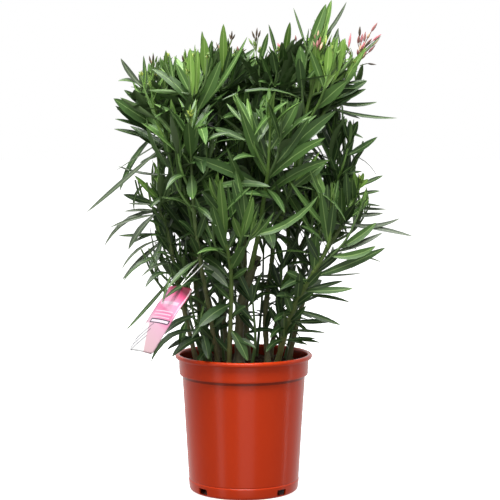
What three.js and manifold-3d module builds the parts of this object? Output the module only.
// A potted oleander: a clump of stems in a nursery pot, with its masses of foliage.
// Millimetres, +Z up. The origin is the centre of the pot's flat underside, and -Y is the front.
import * as THREE from "three";
import { mergeVertices } from "three/addons/utils/BufferGeometryUtils.js";
import Module from "manifold-3d";

// The pot
const RIM_RADIUS = 120;
const POT_HEIGHT = 241;
const WALL = 1.8;
const FLOOR_THICKNESS = 2.5;
const FOOT_RADIUS = 95.5;
const FOOT_HEIGHT = 21;
const FOOT_PROUD = 0.9;
const SHOULDER_HEIGHT = 205;
const SHOULDER_RADIUS = 108;
const COLLAR_RADIUS = 113;
const LIP_HEIGHT = 8;
const POT_SEGMENTS = 32;
const DRAIN_COUNT = 4;
const DRAIN_FIRST_ANGLE = THREE.MathUtils.degToRad(43);
const DRAIN = { deep: 14, wide: 20, high: 11, above_floor: 0.8 };

// The potting soil, which sinks a little at its edge
const SOIL_LEVEL = 223;
const SOIL_EDGE_DROP = 3;

// The gap between two solids that rest on each other or meet
const GAP = 0.3;

// The limbs: sides and spacing of their rings, and the root flare at the ground
const LIMB_SIDES = 6;
const RING_SPACING = 62;
const FLARE_HEIGHT = 26;
const FLARE_SHARE = 0.45;

// The masses of foliage: how far their surface swells and sinks, with three leaves to a whorl
const WHORL_LEAVES = 3;
const WHORL_SWELL = 0.17;
const UNEVEN_SWELL = 0.1;
const MASS_DETAIL = 2;

// The care label and its tie, which goes round one stem
const LABEL = { width: 63, length: 131, thick: 0.9, corner: 4 };
const LABEL_TOP = [-105, -136, 372];
const LABEL_PITCH = THREE.MathUtils.degToRad(-40);
const LABEL_TURN = THREE.MathUtils.degToRad(-49.5);
const TIE_STEM = "stem_left";
const TIE_HEIGHT = 405;
const TIE_RADIUS = 0.8;
const TIE_SPREAD = 4;
const TIE_TURNS = [200, 145, 90, 35, -20].map(THREE.MathUtils.degToRad);

// Ground level for the stems, a gap above the soil
const GROUND = SOIL_LEVEL + GAP;

// Each limb: what it grows from (nothing: the soil), its radius at either end, and where it runs.
// A limb that carries a mass runs on towards the mass's middle, and ends where it enters it.
const LIMBS = [
  { name: "old_trunk", radii: [8.6, 8.0],
    route: [[-8, -20, GROUND], [-4, -27, 327], [12, -33, 382], [24, -32, 415]] },
  { name: "stem_front", carries: "front_centre", radii: [4.4, 3.4],
    route: [[-25, -76, GROUND], [-22, -92, 307], [-21, -105, 392]] },
  { name: "stem_left", carries: "left_front", radii: [4.4, 3.3],
    route: [[-44, -40, GROUND], [-60, -70, 332], [-78, -98, 447]] },
  { name: "stem_left_rear", carries: "top_left", radii: [4.8, 3.4],
    route: [[-62, 2, GROUND], [-84, -6, 367], [-86, -30, 567]] },
  { name: "stem_side_left", carries: "left_side", radii: [4.2, 3.2],
    route: [[-82, -20, GROUND], [-112, -28, 357], [-135, -30, 467]] },
  { name: "stem_core", carries: "core", radii: [4.6, 3.6],
    route: [[8, 22, GROUND], [2, 14, 407]] },
  { name: "stem_mid_left", carries: "top_mid_left", radii: [4.6, 3.2],
    route: [[-28, 26, GROUND], [-46, 22, 407], [-48, 12, 587]] },
  { name: "stem_right_rear", carries: "top_middle", radii: [5.0, 3.4],
    route: [[42, -25, GROUND], [38, -8, 307], [51, 5, 420], [60, 8, 587]] },
  { name: "stem_right", carries: "right_front", radii: [5.4, 4.2],
    route: [[57, -48, GROUND], [87, -80, 333], [118, -100, 391]] },
  { name: "stem_side_right", carries: "right_side", radii: [4.6, 3.4],
    route: [[79, 2, GROUND], [112, -4, 357], [150, -8, 432]] },
  { name: "stem_back_left", carries: "back_left", radii: [4.8, 3.4],
    route: [[-40, 57, GROUND], [-78, 84, 377]] },
  { name: "stem_back_middle", carries: "back_middle", radii: [4.8, 3.4],
    route: [[2, 62, GROUND], [-4, 94, 377]] },
  { name: "stem_back_right", carries: "back_right", radii: [4.8, 3.4],
    route: [[46, 56, GROUND], [84, 84, 377]] },
  { name: "bough_centre", from: "old_trunk", carries: "centre", radii: [4.6, 3.4],
    route: [[10, -34, 383], [26, -56, 457], [34, -80, 512]] },
  { name: "bough_left_corner", from: "stem_left_rear", carries: "top_left_corner", radii: [4.0, 3.0],
    route: [[-86, -18, 477], [-120, -12, 582]] },
  { name: "bough_top_right", from: "stem_right_rear", carries: "top_right", radii: [4.6, 3.2],
    route: [[52, 5, 432], [84, -20, 547], [106, -44, 657]] },
  { name: "bough_right_corner", from: "bough_top_right", carries: "top_right_corner", radii: [3.6, 2.8],
    route: [[90, -27, 577], [130, -24, 647]] },
  { name: "bough_right_upper", from: "stem_side_right", carries: "right_upper", radii: [4.0, 3.0],
    route: [[112, -4, 357], [138, 8, 477]] },
  { name: "bough_back_left_top", from: "stem_back_left", carries: "back_left_top", radii: [4.4, 3.2],
    route: [[-77, 83, 373], [-82, 82, 527]] },
  { name: "bough_back_middle_top", from: "stem_back_middle", carries: "back_middle_top", radii: [4.4, 3.2],
    route: [[-4, 93, 373], [-38, 84, 527]] },
  { name: "bough_back_right_top", from: "stem_back_right", carries: "back_right_top", radii: [4.4, 3.2],
    route: [[83, 83, 373], [80, 80, 527]] },
];

// Each mass of foliage: its middle, its half sizes and the furthest leaf tips that it reaches.
const MASSES = [
  { name: "front_centre", middle: [-14, -138, 489], half: [76, 62, 84], tips: [[-40, -205, 527]] },
  { name: "centre", middle: [46, -108, 629], half: [86, 76, 94], tips: [[60, -190, 607]] },
  { name: "left_front", middle: [-96, -108, 599], half: [76, 64, 92], tips: [[-180, -110, 567]] },
  { name: "top_left", middle: [-85, -54, 735], half: [72, 64, 66], tips: [[-73, -20, 799], [-88, -70, 792]] },
  { name: "top_left_corner", middle: [-164, -8, 693], half: [66, 66, 72],
    tips: [[-155, -20, 769], [-221, -30, 683], [-212, -20, 747]] },
  { name: "top_mid_left", middle: [-30, 0, 739], half: [60, 64, 62], tips: [[-37, 0, 810]] },
  { name: "top_middle", middle: [50, 0, 735], half: [58, 62, 66], tips: [[43, 0, 809], [78, 0, 815]] },
  { name: "top_right", middle: [124, -50, 745], half: [62, 66, 78],
    tips: [[148, -50, 849], [137, -60, 839], [172, -45, 845], [92, -15, 835]] },
  { name: "top_right_corner", middle: [185, -15, 719], half: [54, 60, 66],
    tips: [[228, -15, 811], [230, -20, 742], [227, -25, 679]] },
  { name: "right_upper", middle: [180, 0, 605], half: [62, 70, 66], tips: [[262, -40, 652], [228, -30, 607]] },
  { name: "right_side", middle: [195, -10, 507], half: [56, 64, 58], tips: [[290, -50, 450], [240, -30, 553]] },
  { name: "right_front", middle: [152, -104, 477], half: [76, 62, 66], tips: [[242, -90, 431]] },
  { name: "right_low", middle: [142, -76, 345], half: [50, 46, 52], tips: [[186, -90, 359], [165, -80, 300]] },
  { name: "left_side", middle: [-152, -30, 549], half: [66, 70, 66], tips: [[-268, -40, 490], [-218, -40, 563]] },
  { name: "left_low", middle: [-142, -38, 403], half: [68, 66, 70], tips: [[-237, -50, 434], [-205, -60, 347]] },
  { name: "low_left", middle: [-72, -62, 307], half: [48, 46, 50], tips: [[-128, -80, 275]] },
  { name: "core", middle: [6, -8, 567], half: [42, 52, 68], tips: [] },
  { name: "back_left_top", middle: [-120, 90, 685], half: [84, 78, 92], tips: [[-185, 150, 727]] },
  { name: "back_middle_top", middle: [-12, 108, 697], half: [74, 74, 92], tips: [[20, 185, 767]] },
  { name: "back_right_top", middle: [110, 94, 685], half: [84, 78, 92], tips: [[180, 150, 727]] },
  { name: "back_left", middle: [-130, 100, 507], half: [84, 82, 84], tips: [[-212, 140, 537]] },
  { name: "back_middle", middle: [0, 120, 509], half: [70, 72, 90], tips: [[30, 205, 557]] },
  { name: "back_right", middle: [130, 100, 497], half: [84, 82, 80], tips: [[212, 150, 527]] },
  { name: "back_low", middle: [-72, 76, 343], half: [54, 46, 54], tips: [] },
];

const wasm = await Module();
wasm.setup();

// Turns a closed geometry into a solid that can be cut and joined.
function solidFrom(geometry) {
  const bare = geometry.index ? geometry.toNonIndexed() : geometry.clone();
  bare.deleteAttribute("normal");
  bare.deleteAttribute("uv");
  const merged = mergeVertices(bare, 1e-3);
  return new wasm.Manifold(
    new wasm.Mesh({
      numProp: 3,
      vertProperties: new Float32Array(merged.attributes.position.array),
      triVerts: new Uint32Array(merged.index.array),
    }),
  );
}

// Turns a solid back into a geometry that can be drawn.
function geometryFrom(solid) {
  const mesh = solid.getMesh();
  const positions = new Float32Array(mesh.numVert * 3);
  for (let i = 0; i < mesh.numVert; i++) {
    positions.set(mesh.vertProperties.subarray(i * mesh.numProp, i * mesh.numProp + 3), i * 3);
  }
  const geometry = new THREE.BufferGeometry();
  geometry.setAttribute("position", new THREE.BufferAttribute(positions, 3));
  geometry.setIndex(new THREE.BufferAttribute(new Uint32Array(mesh.triVerts), 1));
  geometry.computeVertexNormals();
  return geometry;
}

// The largest body of a solid, which drops the slivers that a cut leaves.
function largestBody(solid) {
  const bodies = solid.decompose();
  return bodies.reduce((best, body) => (body.volume() > best.volume() ? body : best));
}

const vector = (point) => new THREE.Vector3(...point);
const named = (list, name) => list.find((each) => each.name === name);

// A profile in (radius, height) turned about the Z axis.
function turned(profile) {
  const points = profile.map(([r, z]) => new THREE.Vector2(r, z));
  return new THREE.LatheGeometry(points, POT_SEGMENTS).rotateX(Math.PI / 2);
}

// The outside radius of the tapering wall at a height.
function wallRadius(height) {
  return THREE.MathUtils.lerp(FOOT_RADIUS, SHOULDER_RADIUS, height / SHOULDER_HEIGHT);
}

// The pot: foot ring, tapering wall, collar and rolled lip, with drain slots round the foot.
function makePot() {
  const lipFoot = POT_HEIGHT - LIP_HEIGHT;
  const bore = COLLAR_RADIUS - WALL;
  const footInside = wallRadius(FLOOR_THICKNESS) - WALL;
  const profile = [
    [0, 0],
    [FOOT_RADIUS - 4, 0],
    [FOOT_RADIUS, 3],
    [wallRadius(FOOT_HEIGHT) + FOOT_PROUD, FOOT_HEIGHT - 0.8],
    [wallRadius(FOOT_HEIGHT), FOOT_HEIGHT],
    [SHOULDER_RADIUS, SHOULDER_HEIGHT],
    [COLLAR_RADIUS, SHOULDER_HEIGHT + 2],
    [COLLAR_RADIUS + 1, lipFoot],
    [RIM_RADIUS, lipFoot + 1],
    [RIM_RADIUS, POT_HEIGHT - 2],
    [RIM_RADIUS - 3, POT_HEIGHT],
    [bore + 1, POT_HEIGHT - 1.4],
    [bore, SHOULDER_HEIGHT + 1],
    [SHOULDER_RADIUS - WALL, SHOULDER_HEIGHT - 1.5],
    [footInside - 1, FLOOR_THICKNESS + 2],
    [footInside - 3, FLOOR_THICKNESS],
    [0, FLOOR_THICKNESS],
  ];
  let pot = solidFrom(turned(profile));
  for (let i = 0; i < DRAIN_COUNT; i++) {
    const slot = new THREE.BoxGeometry(DRAIN.deep, DRAIN.wide, DRAIN.high)
      .translate(FOOT_RADIUS, 0, FLOOR_THICKNESS + DRAIN.above_floor + DRAIN.high / 2)
      .rotateZ(DRAIN_FIRST_ANGLE + (i * 2 * Math.PI) / DRAIN_COUNT);
    pot = pot.subtract(solidFrom(slot));
  }
  return pot;
}

// The soil fills the pot to its level, a gap clear of the wall and floor, and sinks at its edge.
function makeSoil() {
  const foot = FLOOR_THICKNESS + GAP;
  const footInside = wallRadius(foot) - WALL;
  const bore = COLLAR_RADIUS - WALL - 2 * GAP;
  return solidFrom(turned([
    [0, foot],
    [footInside - 3.6, foot],
    [footInside - 1.6, foot + 4],
    [SHOULDER_RADIUS - WALL - 2 * GAP, SHOULDER_HEIGHT - 1],
    [bore, SHOULDER_HEIGHT + 5],
    [bore, SOIL_LEVEL - SOIL_EDGE_DROP],
    [bore - 8, SOIL_LEVEL],
    [0, SOIL_LEVEL],
  ]));
}

// The smooth line that a limb follows.
function limbCurve(limb) {
  const carried = named(MASSES, limb.carries);
  const points = carried ? [...limb.route, carried.middle] : limb.route;
  return new THREE.CatmullRomCurve3(points.map(vector), false, "centripetal");
}

// A limb's radius along its length: an even taper, with a root flare where it leaves the ground.
function limbRadius(limb, share, height) {
  const [thick, thin] = limb.radii;
  const flare = limb.from ? 0 : Math.max(0, 1 - (height - GROUND) / FLARE_HEIGHT);
  return THREE.MathUtils.lerp(thick, thin, share) * (1 + FLARE_SHARE * flare * flare);
}

// A tapering limb: rings of points carried along its line, closed by flat ends.
function makeLimb(limb, extra = 0) {
  const curve = limbCurve(limb);
  const rings = Math.max(3, Math.round(curve.getLength() / RING_SPACING));
  const shares = [0, 0.05, ...Array.from({ length: rings }, (_, i) => (i + 1) / rings)];
  const positions = [];
  for (const share of shares) {
    const centre = curve.getPointAt(share);
    const level = share === 0 && !limb.from;
    const normal = level ? new THREE.Vector3(0, 0, 1) : curve.getTangentAt(share);
    const side = new THREE.Vector3(1, 0, 0).addScaledVector(normal, -normal.x).normalize();
    const across = new THREE.Vector3().crossVectors(normal, side);
    const radius = limbRadius(limb, share, centre.z) + extra;
    for (let k = 0; k < LIMB_SIDES; k++) {
      const angle = (k * 2 * Math.PI) / LIMB_SIDES;
      const point = centre.clone()
        .addScaledVector(side, radius * Math.cos(angle))
        .addScaledVector(across, radius * Math.sin(angle));
      positions.push(point.x, point.y, point.z);
    }
  }
  const faces = [];
  const last = (shares.length - 1) * LIMB_SIDES;
  for (let k = 1; k < LIMB_SIDES - 1; k++) {
    faces.push(0, k + 1, k, last, last + k, last + k + 1);
  }
  for (let ring = 0; ring < last; ring += LIMB_SIDES) {
    for (let k = 0; k < LIMB_SIDES; k++) {
      const next = (k + 1) % LIMB_SIDES;
      const above = ring + LIMB_SIDES;
      faces.push(ring + k, ring + next, above + next, ring + k, above + next, above + k);
    }
  }
  const geometry = new THREE.BufferGeometry();
  geometry.setAttribute("position", new THREE.Float32BufferAttribute(positions, 3));
  geometry.setIndex(faces);
  return solidFrom(geometry);
}

// How far a mass's surface swells in a direction: ridges of a three-leaved whorl that wind upwards.
function swell(direction, seed) {
  const turn = Math.atan2(direction.y, direction.x);
  const whorl = Math.sin(WHORL_LEAVES * turn + 4.5 * direction.z + 1.7 * seed);
  const sideways = Math.sin(5.1 * direction.x + 2.3 * seed);
  const upwards = Math.sin(4.3 * direction.y - 3.1 * direction.z + seed);
  return 1 + WHORL_SWELL * whorl + 0.5 * UNEVEN_SWELL * (sideways + upwards);
}

// An uneven closed form round a mass's middle, drawn out to the leaf tips that belong to it.
function makeMassForm(mass, extra = 0) {
  const seed = MASSES.indexOf(mass);
  const sphere = new THREE.IcosahedronGeometry(1, MASS_DETAIL);
  sphere.deleteAttribute("normal");
  sphere.deleteAttribute("uv");
  const form = mergeVertices(sphere, 1e-4);
  const position = form.attributes.position;
  const [middle, half] = [vector(mass.middle), vector(mass.half)];
  const arms = Array.from({ length: position.count }, (_, i) => {
    const direction = new THREE.Vector3().fromBufferAttribute(position, i).normalize();
    return direction.clone().multiply(half).multiplyScalar(swell(direction, seed));
  });
  const free = new Set(arms);
  for (const tip of mass.tips.map(vector)) {
    const reach = tip.sub(middle);
    const nearest = [...free].reduce((best, arm) => (arm.angleTo(reach) < best.angleTo(reach) ? arm : best));
    nearest.copy(reach);
    free.delete(nearest);
  }
  arms.forEach((arm, i) => {
    const point = arm.setLength(arm.length() + extra).add(middle);
    position.setXYZ(i, point.x, point.y, point.z);
  });
  return solidFrom(form);
}

// A mass is cut off half way to each neighbour, and round each limb that runs through it.
function makeMass(mass) {
  const middle = vector(mass.middle);
  let solid = makeMassForm(mass);
  for (const other of MASSES.filter((each) => each !== mass)) {
    const between = vector(other.middle).sub(middle);
    const halfWay = middle.clone().addScaledVector(between, 0.5);
    const inward = between.clone().normalize().negate();
    solid = solid.trimByPlane(inward.toArray(), inward.dot(halfWay) + GAP / 2);
  }
  for (const limb of LIMBS.filter((each) => each.carries !== mass.name)) {
    solid = solid.subtract(makeLimb(limb, GAP));
  }
  return largestBody(solid);
}

// A limb starts at what it grows from and ends where it enters its own mass.
function cutLimb(limb) {
  let solid = makeLimb(limb);
  const parent = named(LIMBS, limb.from);
  if (parent) solid = solid.subtract(makeLimb(parent, GAP));
  const carried = named(MASSES, limb.carries);
  if (carried) solid = solid.subtract(makeMassForm(carried, GAP));
  return largestBody(solid);
}

// The care label: a thin card with cut corners, hanging from the middle of its top edge.
function makeLabel() {
  const { width, length, thick, corner } = LABEL;
  const [x, bottom] = [width / 2, -length];
  const outline = new THREE.Shape([
    new THREE.Vector2(-x + corner, 0),
    new THREE.Vector2(-x, -corner),
    new THREE.Vector2(-x, bottom + corner),
    new THREE.Vector2(-x + corner, bottom),
    new THREE.Vector2(x - corner, bottom),
    new THREE.Vector2(x, bottom + corner),
    new THREE.Vector2(x, -corner),
    new THREE.Vector2(x - corner, 0),
  ]);
  const card = new THREE.ExtrudeGeometry(outline, { depth: thick, bevelEnabled: false })
    .rotateX(Math.PI / 2 + LABEL_PITCH)
    .rotateZ(LABEL_TURN)
    .translate(...LABEL_TOP);
  return solidFrom(card);
}

// The point where a limb's line reaches a height.
function pointAtHeight(limb, height) {
  const points = limbCurve(limb).getSpacedPoints(200);
  return points.find((point) => point.z >= height);
}

// The label's tie: a thin loop from the card's top edge round the stem.
function makeTie() {
  const stem = named(LIMBS, TIE_STEM);
  const held = pointAtHeight(stem, TIE_HEIGHT);
  const clear = stem.radii[0] + TIE_RADIUS + GAP;
  const round = TIE_TURNS.map((turn) =>
    new THREE.Vector3(clear * Math.cos(turn), clear * Math.sin(turn), 0).add(held));
  const top = vector(LABEL_TOP).add(new THREE.Vector3(0, 0, TIE_RADIUS + 2 * GAP));
  const onTheWay = top.clone().lerp(held, 0.5);
  const path = new THREE.CatmullRomCurve3([
    top,
    onTheWay.clone().add(new THREE.Vector3(-TIE_SPREAD, -TIE_SPREAD, 0)),
    ...round,
    onTheWay.clone().add(new THREE.Vector3(TIE_SPREAD, -TIE_SPREAD, 0)),
  ], true);
  return solidFrom(new THREE.TubeGeometry(path, 28, TIE_RADIUS, 3, true));
}

const FINISHES = {
  pot: new THREE.MeshStandardMaterial({ color: 0xb23a1c, roughness: 0.28, metalness: 0 }),
  soil: new THREE.MeshStandardMaterial({ color: 0x2a1b14, roughness: 0.95, metalness: 0 }),
  bark: new THREE.MeshStandardMaterial({ color: 0x6b6a45, roughness: 0.7, metalness: 0 }),
  foliage: new THREE.MeshStandardMaterial({ color: 0x35572a, roughness: 0.45, metalness: 0 }),
  label: new THREE.MeshStandardMaterial({ color: 0xf0a6c6, roughness: 0.35, metalness: 0 }),
};

const oleander = new THREE.Group();

function place(name, solid, finish) {
  const mesh = new THREE.Mesh(geometryFrom(solid), FINISHES[finish]);
  mesh.name = name;
  oleander.add(mesh);
}

place("pot", makePot(), "pot");
place("soil", makeSoil(), "soil");
for (const limb of LIMBS) place(limb.name, cutLimb(limb), "bark");
for (const mass of MASSES) place(`foliage_${mass.name}`, makeMass(mass), "foliage");
place("care_label", makeLabel(), "label");
place("label_tie", makeTie(), "label");

export default oleander;
